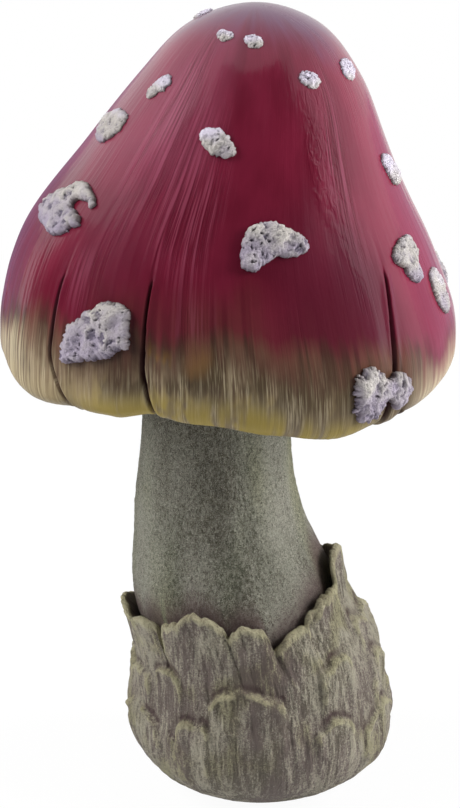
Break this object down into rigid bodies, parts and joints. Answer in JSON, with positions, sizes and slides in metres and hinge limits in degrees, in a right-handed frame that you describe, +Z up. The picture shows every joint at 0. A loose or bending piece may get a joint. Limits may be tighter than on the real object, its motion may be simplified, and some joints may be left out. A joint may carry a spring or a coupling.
{
  "type": "fly agaric figurine",
  "caption": "Standing toadstool ornament: a bell-shaped spotted cap on a stem that rises from a scaly bulb with a ragged collar.",
  "frame": {"origin": "centre of the flat foot, on the surface that the figurine stands on", "axes": "+Z up; the front faces -Y; +X is to the right seen from the front, the side that the crown leans to"},
  "size_m": [0.2087, 0.2086, 0.3775],
  "materials": {
    "cap_lacquer": "satin lacquer over maroon brushed paint that fades to olive and tan at the rim",
    "wart_paint": "matt cream paint with lavender-grey wash in the pits",
    "gill_paint": "matt cream paint with brown wash between the ribs",
    "stem_paint": "matt grey-green paint dry-brushed over embossed texture",
    "bulb_paint": "matt brown-grey paint with yellow-green dry-brushed edges",
    "bare_casting": "unpainted matt casting",
    "ballast_stone": "rough cast weight",
    "dowel_wood": "plain turned wood"
  },
  "bodies": {
    "root": {"ballast_core": "ballast_stone", "base_disc": "bare_casting", "cap_shell": "cap_lacquer", "gill_plate": "gill_paint", "joining_dowel": "dowel_wood", "stem": "stem_paint", "stem_socket": "bare_casting", "volva_cup": "bulb_paint", "wart_back_low_left": "wart_paint", "wart_back_low_right": "wart_paint", "wart_back_middle": "wart_paint", "wart_back_middle_left": "wart_paint", "wart_back_middle_right": "wart_paint", "wart_back_upper_left": "wart_paint", "wart_back_upper_middle": "wart_paint", "wart_back_upper_right": "wart_paint", "wart_bridging": "wart_paint", "wart_crescent": "wart_paint", "wart_crown_back": "wart_paint", "wart_crown_left": "wart_paint", "wart_crown_right": "wart_paint", "wart_flank_left": "wart_paint", "wart_flank_right": "wart_paint", "wart_front_middle": "wart_paint", "wart_hooked": "wart_paint", "wart_large_front": "wart_paint", "wart_left_flank_low": "wart_paint", "wart_right_flank_low": "wart_paint", "wart_right_lower": "wart_paint", "wart_right_upper": "wart_paint", "wart_shoulder_far_right": "wart_paint", "wart_shoulder_left": "wart_paint", "wart_shoulder_right": "wart_paint"}
  },
  "joints": []
}
